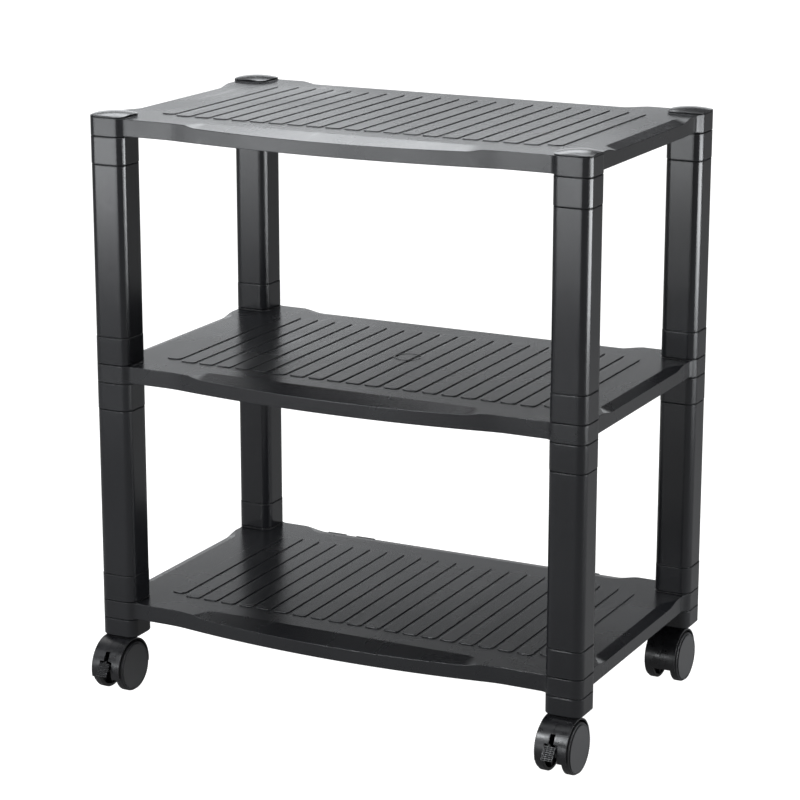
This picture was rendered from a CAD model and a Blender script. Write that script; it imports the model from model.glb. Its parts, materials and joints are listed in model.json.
# Mobile printer stand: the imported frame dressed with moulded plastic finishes, small moulded
# details, a pale studio floor and soft light.
import json
import math
import bmesh
import bpy
from mathutils import Matrix, Vector
from mathutils.bvhtree import BVHTree


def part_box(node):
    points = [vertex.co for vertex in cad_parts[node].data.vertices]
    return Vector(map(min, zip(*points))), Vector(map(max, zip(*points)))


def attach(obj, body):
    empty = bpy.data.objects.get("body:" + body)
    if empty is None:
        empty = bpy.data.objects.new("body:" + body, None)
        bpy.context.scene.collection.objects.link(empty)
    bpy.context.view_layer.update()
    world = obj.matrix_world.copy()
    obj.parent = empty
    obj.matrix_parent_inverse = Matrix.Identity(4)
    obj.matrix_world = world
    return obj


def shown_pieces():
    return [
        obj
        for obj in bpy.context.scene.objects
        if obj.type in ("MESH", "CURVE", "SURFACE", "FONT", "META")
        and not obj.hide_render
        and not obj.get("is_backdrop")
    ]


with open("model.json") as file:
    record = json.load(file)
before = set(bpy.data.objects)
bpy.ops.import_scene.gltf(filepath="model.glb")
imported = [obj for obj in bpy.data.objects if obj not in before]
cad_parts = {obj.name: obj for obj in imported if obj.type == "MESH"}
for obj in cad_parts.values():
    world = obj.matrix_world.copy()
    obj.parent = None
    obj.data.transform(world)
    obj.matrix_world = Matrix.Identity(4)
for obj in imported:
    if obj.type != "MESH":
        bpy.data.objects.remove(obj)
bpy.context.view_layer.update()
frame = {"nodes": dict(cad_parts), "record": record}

# Image points of the photograph, in its 800 x 800 frame
IMAGE_W, IMAGE_H = 800, 800
LONG_SIDE = max(IMAGE_W, IMAGE_H)
TOP_GATE_MARK = (401, 111)
MIDDLE_GATE_MARK = (408, 357)
BOTTOM_GATE_MARK = (392, 592)
FRONT_LEFT_CAP = (114, 111)
FRONT_RIGHT_CAP = (579, 149)
BACK_LEFT_CAP = (256, 75)
BACK_RIGHT_CAP = (691, 107)
FRONT_RIGHT_TAB = (548, 754)
FRONT_LEFT_TAB = (103, 670)

# ---- camera ----

CAMERA_PLACE = Vector((1.11147, -2.19698, 0.93625))
CAMERA_YAW = math.radians(26.7466)
CAMERA_PITCH = math.radians(-14.8468)
CAMERA_ROLL = math.radians(0.039)
CAMERA_LENS = 121.39
CAMERA_SENSOR = 36.0
CAMERA_SHIFT_X = 0.0
CAMERA_SHIFT_Y = 0.0


def make_camera():
    """The photograph's viewpoint: to the front right of the stand and above it."""
    data = bpy.data.cameras.new("camera")
    data.sensor_fit = "AUTO"
    data.sensor_width = CAMERA_SENSOR
    data.lens = CAMERA_LENS
    data.shift_x = CAMERA_SHIFT_X
    data.shift_y = CAMERA_SHIFT_Y
    data.clip_start = 0.1
    data.clip_end = 100.0
    camera = bpy.data.objects.new("camera", data)
    bpy.context.scene.collection.objects.link(camera)
    level = math.cos(CAMERA_PITCH)
    aim = Vector((-math.sin(CAMERA_YAW) * level, math.cos(CAMERA_YAW) * level, math.sin(CAMERA_PITCH)))
    turn = aim.to_track_quat("-Z", "Y").to_matrix().to_4x4()
    camera.matrix_world = Matrix.Translation(CAMERA_PLACE) @ turn @ Matrix.Rotation(CAMERA_ROLL, 4, "Z")
    bpy.context.scene.camera = camera
    return camera


CAMERA = make_camera()
bpy.context.view_layer.update()

# ---- placing from image points ----


def world_mesh(thing):
    """The corners and faces of a finished object, in the shared frame."""
    graph = bpy.context.evaluated_depsgraph_get()
    done = thing.evaluated_get(graph)
    mesh = done.to_mesh()
    corners = [done.matrix_world @ v.co for v in mesh.vertices]
    faces = [tuple(p.vertices) for p in mesh.polygons]
    done.to_mesh_clear()
    return corners, faces


def image_ray(point):
    """The ray from the camera through an image point."""
    x, y = point
    ray = Vector((
        x - IMAGE_W / 2 + CAMERA_SHIFT_X * LONG_SIDE,
        IMAGE_H / 2 - y + CAMERA_SHIFT_Y * LONG_SIDE,
        -LONG_SIDE * CAMERA_LENS / CAMERA_SENSOR))
    return CAMERA.matrix_world.translation, (CAMERA.matrix_world.to_3x3() @ ray).normalized()


def place_on(point, *carriers):
    """(place, normal) where an image point lands on the pieces that carry a detail."""
    corners, faces = [], []
    for carrier in carriers:
        more, sides = world_mesh(carrier)
        faces += [tuple(i + len(corners) for i in side) for side in sides]
        corners += more
    tree = BVHTree.FromPolygons(corners, faces)
    start, ray = image_ray(point)
    place, normal, _, _ = tree.ray_cast(start, ray)
    if place is None:
        near = min(corners, key=lambda c: ((c - start) - ray * (c - start).dot(ray)).length)
        place, normal, _, _ = tree.find_nearest(near)
    return place, normal


def in_image(place):
    """Where a place shows in the image."""
    local = CAMERA.matrix_world.inverted() @ Vector(place)
    scale = LONG_SIDE * CAMERA_LENS / CAMERA_SENSOR / -local.z
    return (IMAGE_W / 2 + local.x * scale - CAMERA_SHIFT_X * LONG_SIDE,
            IMAGE_H / 2 - local.y * scale + CAMERA_SHIFT_Y * LONG_SIDE)


# ---- node groups ----


def new_group(name, inputs, outputs):
    """An empty shader group with float inputs {name: value} and outputs {name: socket type}."""
    group = bpy.data.node_groups.new(name, "ShaderNodeTree")
    for label, value in inputs.items():
        socket = group.interface.new_socket(label, in_out="INPUT", socket_type="NodeSocketFloat")
        socket.default_value = value
    for label, kind in outputs.items():
        group.interface.new_socket(label, in_out="OUTPUT", socket_type=kind)
    return group, group.nodes.new("NodeGroupInput"), group.nodes.new("NodeGroupOutput")


def add(tree, kind, **values):
    """A node, with settings by name and socket values by 'in_' and the socket's name."""
    node = tree.nodes.new(kind)
    for key, value in values.items():
        if key.startswith("in_"):
            node.inputs[key[3:].replace("_", " ")].default_value = value
        else:
            setattr(node, key, value)
    return node


def feed(tree, source, socket):
    """Gives a socket a number, or links it to another node's socket."""
    if isinstance(source, (int, float)):
        socket.default_value = source
    else:
        tree.links.new(source, socket)


def maths(tree, operation, *sources, clamp=False):
    """A Math node fed by sockets or numbers."""
    node = add(tree, "ShaderNodeMath", operation=operation, use_clamp=clamp)
    for slot, source in enumerate(sources):
        feed(tree, source, node.inputs[slot])
    return node.outputs[0]


def fade(tree, value, low, high):
    """Runs from 0 to 1 as value goes from low to high, which may be sockets."""
    node = add(tree, "ShaderNodeMapRange", interpolation_type="SMOOTHSTEP")
    tree.links.new(value, node.inputs["Value"])
    feed(tree, low, node.inputs["From Min"])
    feed(tree, high, node.inputs["From Max"])
    return node.outputs["Result"]


def noise(tree, where, scale, detail=2.0, roughness=0.5):
    """Noise of a given scale, which may be a socket."""
    node = add(tree, "ShaderNodeTexNoise", in_Detail=detail, in_Roughness=roughness)
    tree.links.new(where, node.inputs["Vector"])
    feed(tree, scale, node.inputs["Scale"])
    return node.outputs["Fac"]


COARSE_PEBBLES = 0.31  # scale of the coarse pebbles against the fine ones
FINE_SHARE, COARSE_SHARE = 0.65, 0.35
GRAIN_TONE = (0.3, 0.7)
EDGE_TURN = (0.015, 0.22)
CLOUD_BAND = (0.35, 0.68)
STREAK_BAND = (0.58, 0.74)
STREAK_STRETCH = (1.0, 0.12, 1.0)
STREAK_TURN = (0.0, 0.0, 0.5)
STREAK_SCALE = 60.0


def make_grain_group():
    """Spark-eroded mould grain: a fine pebble height and a slight change of tone."""
    group, source, target = new_group(
        "moulded_grain", {"Grain Scale": 1100.0, "Depth": 1.0},
        {"Height": "NodeSocketFloat", "Tone": "NodeSocketFloat"})
    where = add(group, "ShaderNodeTexCoord").outputs["Object"]
    fine = noise(group, where, source.outputs["Grain Scale"], 3.0, 0.6)
    coarse_scale = maths(group, "MULTIPLY", source.outputs["Grain Scale"], COARSE_PEBBLES)
    coarse = noise(group, where, coarse_scale, 2.0, 0.5)
    mixed = maths(group, "ADD", maths(group, "MULTIPLY", fine, FINE_SHARE),
                  maths(group, "MULTIPLY", coarse, COARSE_SHARE))
    height = maths(group, "MULTIPLY", mixed, source.outputs["Depth"])
    group.links.new(height, target.inputs["Height"])
    group.links.new(fade(group, mixed, *GRAIN_TONE), target.inputs["Tone"])
    return group


def make_edge_group():
    """Moulded edges: a small round on every corner, wider on upright faces, and a mask of it."""
    group, source, target = new_group(
        "moulded_edges", {"Radius": 0.0006, "Upright": 1.2},
        {"Normal": "NodeSocketVector", "Edge": "NodeSocketFloat"})
    bevel = add(group, "ShaderNodeBevel", samples=4)
    flat = add(group, "ShaderNodeNewGeometry").outputs["Normal"]
    parts = add(group, "ShaderNodeSeparateXYZ")
    group.links.new(flat, parts.inputs[0])
    upright = maths(group, "SUBTRACT", 1.0, maths(group, "ABSOLUTE", parts.outputs["Z"]), clamp=True)
    wider = maths(group, "ADD", 1.0, maths(group, "MULTIPLY", upright, source.outputs["Upright"]))
    group.links.new(maths(group, "MULTIPLY", source.outputs["Radius"], wider), bevel.inputs["Radius"])
    alike = add(group, "ShaderNodeVectorMath", operation="DOT_PRODUCT")
    group.links.new(bevel.outputs["Normal"], alike.inputs[0])
    group.links.new(flat, alike.inputs[1])
    turned = maths(group, "SUBTRACT", 1.0, alike.outputs["Value"])
    group.links.new(bevel.outputs["Normal"], target.inputs["Normal"])
    group.links.new(fade(group, turned, *EDGE_TURN), target.inputs["Edge"])
    return group


def make_flow_group():
    """Moulding flow and handling: broad cloudy bands and faint rubbed streaks."""
    group, source, target = new_group(
        "flow_and_rubs", {"Cloud Scale": 9.0, "Streak Scale": STREAK_SCALE},
        {"Cloud": "NodeSocketFloat", "Streak": "NodeSocketFloat"})
    where = add(group, "ShaderNodeTexCoord").outputs["Object"]
    cloud = noise(group, where, source.outputs["Cloud Scale"], 3.0, 0.55)
    stretch = add(group, "ShaderNodeMapping")
    stretch.inputs["Scale"].default_value = STREAK_STRETCH
    stretch.inputs["Rotation"].default_value = STREAK_TURN
    group.links.new(where, stretch.inputs["Vector"])
    streak = noise(group, stretch.outputs["Vector"], source.outputs["Streak Scale"], 4.0, 0.6)
    group.links.new(fade(group, cloud, *CLOUD_BAND), target.inputs["Cloud"])
    group.links.new(fade(group, streak, *STREAK_BAND), target.inputs["Streak"])
    return group


def make_seam_group():
    """Seams and gaps: a mask of where a surface is closed in by another within reach."""
    group, source, target = new_group(
        "seams_and_gaps", {"Reach": 0.002, "Open": 0.3, "Shut": 0.7}, {"Seam": "NodeSocketFloat"})
    open_sky = add(group, "ShaderNodeAmbientOcclusion", samples=6)
    group.links.new(source.outputs["Reach"], open_sky.inputs["Distance"])
    closed = maths(group, "SUBTRACT", 1.0, open_sky.outputs["AO"])
    seam = fade(group, closed, source.outputs["Open"], source.outputs["Shut"])
    group.links.new(seam, target.inputs["Seam"])
    return group


GRAIN = make_grain_group()
EDGES = make_edge_group()
SEAMS = make_seam_group()
FLOW = make_flow_group()


def place_group(tree, group, **values):
    """A group node with its own input values."""
    node = tree.nodes.new("ShaderNodeGroup")
    node.node_tree = group
    for key, value in values.items():
        node.inputs[key.replace("_", " ")].default_value = value
    return node


def mix_colour(tree, share, first, second):
    """A colour that goes from first to second; each is a colour or a socket."""
    node = add(tree, "ShaderNodeMix", data_type="RGBA")
    tree.links.new(share, node.inputs["Factor"])
    for slot, source in ((6, first), (7, second)):
        if isinstance(source, tuple):
            node.inputs[slot].default_value = (*source, 1.0)
        else:
            tree.links.new(source, node.inputs[slot])
    return node.outputs[2]


SEAM_SHADE = (0.0015, 0.0015, 0.0018)
SEAM_DULLS = 0.55
GRAIN_IN_TONE, CLOUD_IN_TONE = 0.55, 0.45
EDGE_PALES = 0.6
EDGE_POLISH = 0.06
BUMP_STRENGTH = 0.5
DISC_FACES = (0.92, 0.99)  # how nearly a wheel's face points along its axle to count as disc


def moulded_plastic(name, colour, light, edge, roughness, spread, grain_scale, grain_depth, round_edge,
                    cloud_scale=9.0, reach=0.002, seam_open=0.3, seam_shut=0.7):
    """Moulded plastic: colour to light over grain and clouds, a paler edge and dull, dark seams.

    roughness runs over spread with the clouds; round_edge is the moulded radius in metres. A gap
    up to reach wide counts as a seam, from seam_open to seam_shut closed in."""
    material = bpy.data.materials.new(name)
    material.use_nodes = True
    tree = material.node_tree
    shader = tree.nodes["Principled BSDF"]
    grain = place_group(tree, GRAIN, Grain_Scale=grain_scale, Depth=1.0)
    edges = place_group(tree, EDGES, Radius=round_edge)
    flow = place_group(tree, FLOW, Cloud_Scale=cloud_scale, Streak_Scale=STREAK_SCALE)
    tone = maths(tree, "ADD", maths(tree, "MULTIPLY", grain.outputs["Tone"], GRAIN_IN_TONE),
                 maths(tree, "MULTIPLY", flow.outputs["Cloud"], CLOUD_IN_TONE))
    body = mix_colour(tree, tone, colour, light)
    worn = maths(tree, "MULTIPLY", edges.outputs["Edge"], EDGE_PALES)
    seams = place_group(tree, SEAMS, Reach=reach, Open=seam_open, Shut=seam_shut)
    worn_body = mix_colour(tree, worn, body, edge)
    shaded = mix_colour(tree, seams.outputs["Seam"], worn_body, SEAM_SHADE)
    tree.links.new(shaded, shader.inputs["Base Color"])
    rough = maths(tree, "ADD", roughness, maths(tree, "MULTIPLY", flow.outputs["Cloud"], spread))
    rubbed = maths(tree, "SUBTRACT", rough, maths(tree, "MULTIPLY", flow.outputs["Streak"], spread))
    polished = maths(tree, "SUBTRACT", rubbed, maths(tree, "MULTIPLY", edges.outputs["Edge"], EDGE_POLISH))
    dull = maths(tree, "MULTIPLY", seams.outputs["Seam"], SEAM_DULLS)
    tree.links.new(maths(tree, "ADD", polished, dull, clamp=True), shader.inputs["Roughness"])
    bump = add(tree, "ShaderNodeBump", in_Strength=BUMP_STRENGTH, in_Distance=grain_depth)
    tree.links.new(grain.outputs["Height"], bump.inputs["Height"])
    tree.links.new(edges.outputs["Normal"], bump.inputs["Normal"])
    tree.links.new(bump.outputs["Normal"], shader.inputs["Normal"])
    return material


def darker_tread(material, tread):
    """Gives a wheel a darker tread and shoulder than its flat disc, which faces along the axle."""
    tree = material.node_tree
    shader = tree.nodes["Principled BSDF"]
    disc = shader.inputs["Base Color"].links[0].from_socket
    parts = add(tree, "ShaderNodeSeparateXYZ")
    tree.links.new(add(tree, "ShaderNodeTexCoord").outputs["Normal"], parts.inputs[0])
    facing = fade(tree, maths(tree, "ABSOLUTE", parts.outputs["X"]), *DISC_FACES)
    tree.links.new(mix_colour(tree, facing, tread, disc), shader.inputs["Base Color"])


STEEL_DULL, STEEL_BRIGHT = (0.42, 0.43, 0.45), (0.55, 0.56, 0.58)
STEEL_ROUGHNESS, STEEL_SPREAD = 0.28, 0.12


def plated_steel(name):
    """Zinc plated steel with a fine, even grain."""
    material = bpy.data.materials.new(name)
    material.use_nodes = True
    tree = material.node_tree
    shader = tree.nodes["Principled BSDF"]
    shader.inputs["Metallic"].default_value = 1.0
    grain = place_group(tree, GRAIN, Grain_Scale=2400.0, Depth=1.0)
    edges = place_group(tree, EDGES, Radius=0.0003)
    colour = mix_colour(tree, grain.outputs["Tone"], STEEL_DULL, STEEL_BRIGHT)
    tree.links.new(colour, shader.inputs["Base Color"])
    rough = maths(tree, "ADD", STEEL_ROUGHNESS,
                  maths(tree, "MULTIPLY", grain.outputs["Tone"], STEEL_SPREAD))
    tree.links.new(rough, shader.inputs["Roughness"])
    tree.links.new(edges.outputs["Normal"], shader.inputs["Normal"])
    return material


SHELF_PLASTIC = moulded_plastic(
    "charcoal_shelf_plastic",
    colour=(0.008, 0.0083, 0.0098), light=(0.013, 0.0135, 0.0155), edge=(0.05, 0.051, 0.055),
    roughness=0.24, spread=0.05, grain_scale=2100.0, grain_depth=0.00003, round_edge=0.0005)
POST_PLASTIC = moulded_plastic(
    "charcoal_post_plastic",
    colour=(0.0075, 0.0078, 0.0095), light=(0.011, 0.0115, 0.0135), edge=(0.06, 0.062, 0.066),
    roughness=0.2, spread=0.05, grain_scale=1700.0, grain_depth=0.00003, round_edge=0.0006)
HOOD_PLASTIC = moulded_plastic(
    "black_hood_plastic",
    colour=(0.005, 0.005, 0.006), light=(0.013, 0.013, 0.015), edge=(0.05, 0.05, 0.054),
    roughness=0.27, spread=0.12, grain_scale=800.0, grain_depth=0.0001, round_edge=0.0005,
    cloud_scale=120.0)
WHEEL_PLASTIC = moulded_plastic(
    "dark_grey_wheel_plastic",
    colour=(0.043, 0.043, 0.0445), light=(0.053, 0.053, 0.0545), edge=(0.06, 0.06, 0.063),
    roughness=0.5, spread=0.08, grain_scale=1500.0, grain_depth=0.00005, round_edge=0.0004,
    reach=0.004)
darker_tread(WHEEL_PLASTIC, tread=(0.009, 0.009, 0.0105))
LEVER_PLASTIC = moulded_plastic(
    "black_lever_plastic",
    colour=(0.008, 0.008, 0.009), light=(0.016, 0.016, 0.018), edge=(0.08, 0.08, 0.084),
    roughness=0.25, spread=0.05, grain_scale=1500.0, grain_depth=0.00003, round_edge=0.0001,
    reach=0.0015, seam_open=0.1, seam_shut=0.3)
SOCKET_PLASTIC = moulded_plastic(
    "black_socket_plastic",
    colour=(0.012, 0.012, 0.014), light=(0.018, 0.018, 0.021), edge=(0.05, 0.05, 0.053),
    roughness=0.5, spread=0.08, grain_scale=1500.0, grain_depth=0.00004, round_edge=0.0004)
CLIP_PLASTIC = moulded_plastic(
    "black_clip_plastic",
    colour=(0.01, 0.01, 0.012), light=(0.016, 0.016, 0.019), edge=(0.05, 0.05, 0.053),
    roughness=0.42, spread=0.08, grain_scale=1500.0, grain_depth=0.00004, round_edge=0.0004)
STEEL = plated_steel("zinc_plated_steel")

FINISHES = {
    "shelf_plastic": SHELF_PLASTIC, "post_plastic": POST_PLASTIC, "hood_plastic": HOOD_PLASTIC,
    "wheel_plastic": WHEEL_PLASTIC, "socket_plastic": SOCKET_PLASTIC, "clip_plastic": CLIP_PLASTIC,
    "stem_steel": STEEL}


def finish_nodes():
    """Gives each CAD node its slot's finish."""
    for part in frame["record"]["subparts"]:
        node = frame["nodes"][part["node"]]
        lever = part["node"].endswith("brake_lever")
        for slot in node.material_slots:
            slot.material = LEVER_PLASTIC if lever else FINISHES[part["material_slot"]]


finish_nodes()

# ---- small moulded details ----


def make_object(name, corners, faces, body, material, smooth=True):
    """A mesh piece that rides on a body."""
    mesh = bpy.data.meshes.new(name)
    mesh.from_pydata([tuple(c) for c in corners], [], faces)
    mesh.validate()
    shape = bmesh.new()
    shape.from_mesh(mesh)
    bmesh.ops.recalc_face_normals(shape, faces=shape.faces)
    shape.to_mesh(mesh)
    shape.free()
    for face in mesh.polygons:
        face.use_smooth = smooth
    piece = bpy.data.objects.new(name, mesh)
    bpy.context.scene.collection.objects.link(piece)
    piece.data.materials.append(material)
    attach(piece, body)
    return piece


def ring_faces(steps, count):
    """The faces of a closed ring of steps sections with count corners each."""
    faces = []
    for k in range(steps):
        after = (k + 1) % steps
        for i in range(count):
            j = (i + 1) % count
            faces.append((k * count + i, k * count + j, after * count + j, after * count + i))
    return faces


def lathe(profile, place, steps=48):
    """Corners and faces of a closed turned form round +Z; profile is [(radius, height)]."""
    corners = []
    for k in range(steps):
        angle = 2 * math.pi * k / steps
        for radius, height in profile:
            corners.append(Vector((radius * math.cos(angle), radius * math.sin(angle), height)) + place)
    return corners, ring_faces(steps, len(profile))


GATE_RING_R = 0.0135
GATE_RING_W = 0.0011
GATE_RING_H = 0.00035
GATE_RING_SHOULDER = GATE_RING_H * 0.4
GATE_RING_ROOT = -0.0004
GATE_MARKS = {
    "top_shelf": TOP_GATE_MARK, "middle_shelf": MIDDLE_GATE_MARK, "bottom_shelf": BOTTOM_GATE_MARK}


def gate_marks():
    """The faint ring where each shelf's mould was filled."""
    made = {}
    inner = GATE_RING_R - GATE_RING_W
    profile = [
        (inner, GATE_RING_ROOT), (inner, GATE_RING_SHOULDER),
        (GATE_RING_R - GATE_RING_W / 2, GATE_RING_H),
        (GATE_RING_R, GATE_RING_SHOULDER), (GATE_RING_R, GATE_RING_ROOT)]
    for shelf, point in GATE_MARKS.items():
        place, _ = place_on(point, frame["nodes"][shelf])
        corners, faces = lathe(profile, place)
        name = shelf.replace("shelf", "gate_mark")
        made[name] = make_object(name, corners, faces, "stand", SHELF_PLASTIC)
    return made


GATE_PIECES = gate_marks()

RIM_TEETH = 66
RIM_OUT = 0.0224
RIM_IN = 0.0207
RIM_PROUD = 0.00045
RIM_VALLEY = 0.00005
# The band's section as (radius, height from the disc, share of the tooth's rise)
RIM_PROFILE = [
    (RIM_OUT, -0.0006, 0.0), (RIM_OUT, 0.0, 1.0), (RIM_IN + 0.0004, 0.0, 0.7), (RIM_IN, -0.0002, 0.0)]


def knurled_band(middle, side):
    """Corners and faces of a toothed ring round a disc's middle; side is -1 on the left, 1 on the right."""
    corners = []
    steps = 2 * RIM_TEETH
    for k in range(steps):
        angle = 2 * math.pi * k / steps
        tooth = RIM_PROUD if k % 2 else RIM_VALLEY
        for radius, height, rise in RIM_PROFILE:
            out = height + rise * tooth
            place = Vector((side * out, radius * math.cos(angle), radius * math.sin(angle)))
            corners.append(middle + place)
    return corners, ring_faces(steps, len(RIM_PROFILE))


def rim_knurls():
    """The fine knurled band round the flat disc of every wheel."""
    for body, side in (("left_roller", -1), ("right_roller", 1)):
        for corner in ("front_left", "front_right", "back_left", "back_right"):
            low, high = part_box(f"{corner}_{body.replace('roller', 'wheel')}")
            face = high[0] if side > 0 else low[0]
            middle = Vector((face, (low[1] + high[1]) / 2, (low[2] + high[2]) / 2))
            corners, faces = knurled_band(middle, side)
            make_object(f"{corner}_{body}_knurled_rim", corners, faces, f"{corner}_{body}",
                        WHEEL_PLASTIC, smooth=False)


rim_knurls()

# ---- floor and light ----

FLOOR_HALF = 30.0
FLOOR_GREY = (0.16, 0.16, 0.16, 1.0)
FLOOR_ROUGHNESS = 0.9
FLOOR_SHINE = 0.1
FLOOR_SEEN, FLOOR_GLOW = 0.9, 0.21  # glow that only the camera sees, and glow that lights the stand
WHITE = (1.0, 1.0, 1.0, 1.0)


def make_floor():
    """A plain pale floor under the wheels."""
    mesh = bpy.data.meshes.new("floor")
    corners = [(-FLOOR_HALF, -FLOOR_HALF, 0), (FLOOR_HALF, -FLOOR_HALF, 0),
               (FLOOR_HALF, FLOOR_HALF, 0), (-FLOOR_HALF, FLOOR_HALF, 0)]
    mesh.from_pydata(corners, [], [(0, 1, 2, 3)])
    floor = bpy.data.objects.new("floor", mesh)
    bpy.context.scene.collection.objects.link(floor)
    material = bpy.data.materials.new("pale_floor")
    material.use_nodes = True
    tree = material.node_tree
    shader = tree.nodes["Principled BSDF"]
    shader.inputs["Base Color"].default_value = FLOOR_GREY
    shader.inputs["Roughness"].default_value = FLOOR_ROUGHNESS
    shader.inputs["Specular IOR Level"].default_value = FLOOR_SHINE
    shader.inputs["Emission Color"].default_value = WHITE
    seen = maths(tree, "MULTIPLY", add(tree, "ShaderNodeLightPath").outputs["Is Camera Ray"], FLOOR_SEEN)
    tree.links.new(maths(tree, "ADD", seen, FLOOR_GLOW), shader.inputs["Emission Strength"])
    mesh.materials.append(material)
    floor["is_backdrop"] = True


LIGHT_TINT = (0.95, 0.975, 1.0)
SURROUND_GLOW = 0.08
BACKDROP = {"width": 6.0, "height": 1.2}
BACKDROP_REACH, BACKDROP_MIDDLE = 5.0, 0.9
BACKDROP_AIM = (0, 0, 0.6)


def softbox(name, place, aim, width, height, radiance):
    """A rectangular soft light at a place, turned towards an aim."""
    data = bpy.data.lights.new(name, "AREA")
    data.shape = "RECTANGLE"
    data.size = width
    data.size_y = height
    data.energy = radiance * math.pi * width * height
    data.color = LIGHT_TINT
    light = bpy.data.objects.new(name, data)
    bpy.context.scene.collection.objects.link(light)
    light.location = place
    light.rotation_euler = (Vector(aim) - Vector(place)).to_track_quat("-Z", "Y").to_euler()
    light.visible_camera = False


def sky_panel(name, aim_from, angle, strength):
    """An even overhead light from a direction, as soft as its angle is wide."""
    data = bpy.data.lights.new(name, "SUN")
    data.energy = strength
    data.angle = math.radians(angle)
    light = bpy.data.objects.new(name, data)
    bpy.context.scene.collection.objects.link(light)
    light.rotation_euler = Vector(aim_from).to_track_quat("Z", "Y").to_euler()


def round_stand(azimuth, reach, height):
    """A place round the stand; azimuth 0 is in front and 90 to its right."""
    turn = math.radians(azimuth)
    return (reach * math.sin(turn), -reach * math.cos(turn), height)


def make_studio():
    """A surround that looks white and lights little, an even overhead light and softboxes."""
    world = bpy.data.worlds.new("studio")
    world.use_nodes = True
    tree = world.node_tree
    surround = tree.nodes["Background"]
    surround.inputs["Color"].default_value = WHITE
    seen = add(tree, "ShaderNodeLightPath").outputs["Is Camera Ray"]
    tree.links.new(maths(tree, "ADD", seen, SURROUND_GLOW), surround.inputs["Strength"])
    bpy.context.scene.world = world
    sky_panel("sky_light", aim_from=(-0.3, 0.45, 1.0), angle=40.0, strength=0.7)
    softbox("overhead_softbox", place=(-0.2, 0.38, 1.32), aim=(-0.2, 0.38, 0.0),
            width=1.2, height=1.44, radiance=2.6)
    softbox("left_backdrop", place=round_stand(225, 4.8, BACKDROP_MIDDLE), aim=BACKDROP_AIM,
            width=3.0, height=BACKDROP["height"], radiance=0.42)
    softbox("far_backdrop", place=round_stand(213, BACKDROP_REACH, BACKDROP_MIDDLE),
            aim=BACKDROP_AIM, radiance=1.12, **BACKDROP)
    softbox("back_softbox", place=(-0.37, 0.52, 0.88), aim=(0, -0.15, 0.54),
            width=0.72, height=0.14, radiance=3.9)
    softbox("wide_front_softbox", place=round_stand(-24, 1.75, 0.285), aim=(0, 0, 0.285),
            width=1.7, height=0.26, radiance=6.4)
    softbox("key_softbox", place=(-0.6, -1.5, 1.35), aim=(0, 0, 0.2),
            width=0.6, height=0.45, radiance=24.0)
    softbox("right_softbox", place=round_stand(102, 1.6, 0.21), aim=(0, 0, 0.21),
            width=1.2, height=0.26, radiance=15.0)
    for azimuth in (33, 105, 285):
        softbox(f"backdrop_{azimuth}", place=round_stand(azimuth, BACKDROP_REACH, BACKDROP_MIDDLE),
                aim=BACKDROP_AIM, radiance=0.6, **BACKDROP)
    bpy.context.scene.view_settings.view_transform = "Standard"


make_floor()
make_studio()

# ---- what shows where ----


def shown_spread():
    """Lowest and highest image x and y of the finished stand."""
    low, high = [math.inf] * 2, [-math.inf] * 2
    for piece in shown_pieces():
        corners, _ = world_mesh(piece)
        for corner in corners:
            for axis, value in enumerate(in_image(corner)):
                low[axis] = min(low[axis], value)
                high[axis] = max(high[axis], value)
    return low, high


def middle_of(thing):
    """The middle of an object's finished corners."""
    corners, _ = world_mesh(thing)
    return sum(corners, Vector()) / len(corners)


def node_top(name):
    """The middle of a node's top."""
    low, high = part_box(name)
    return ((low[0] + high[0]) / 2, (low[1] + high[1]) / 2, high[2])


TAB_DEPTH = 0.0085


def tab_face(name):
    """The middle of a brake lever's tab: the corners within its depth of the lever's front."""
    corners, _ = world_mesh(frame["nodes"][name])
    low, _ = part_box(name)
    front = [c for c in corners if c.y < low[1] + TAB_DEPTH]
    return sum(front, Vector()) / len(front)


def write_points():
    """How far each thing shows from its image point, in pixels."""
    low, high = shown_spread()
    places = {
        "front_left_cap": (node_top("front_left_cap"), FRONT_LEFT_CAP),
        "front_right_cap": (node_top("front_right_cap"), FRONT_RIGHT_CAP),
        "back_left_cap": (node_top("back_left_cap"), BACK_LEFT_CAP),
        "back_right_cap": (node_top("back_right_cap"), BACK_RIGHT_CAP),
        "front_right_tab": (tab_face("front_right_brake_lever"), FRONT_RIGHT_TAB),
        "front_left_tab": (tab_face("front_left_brake_lever"), FRONT_LEFT_TAB)}
    for shelf, point in GATE_MARKS.items():
        name = shelf.replace("shelf", "gate_mark")
        places[name] = (middle_of(GATE_PIECES[name]), point)


write_points()
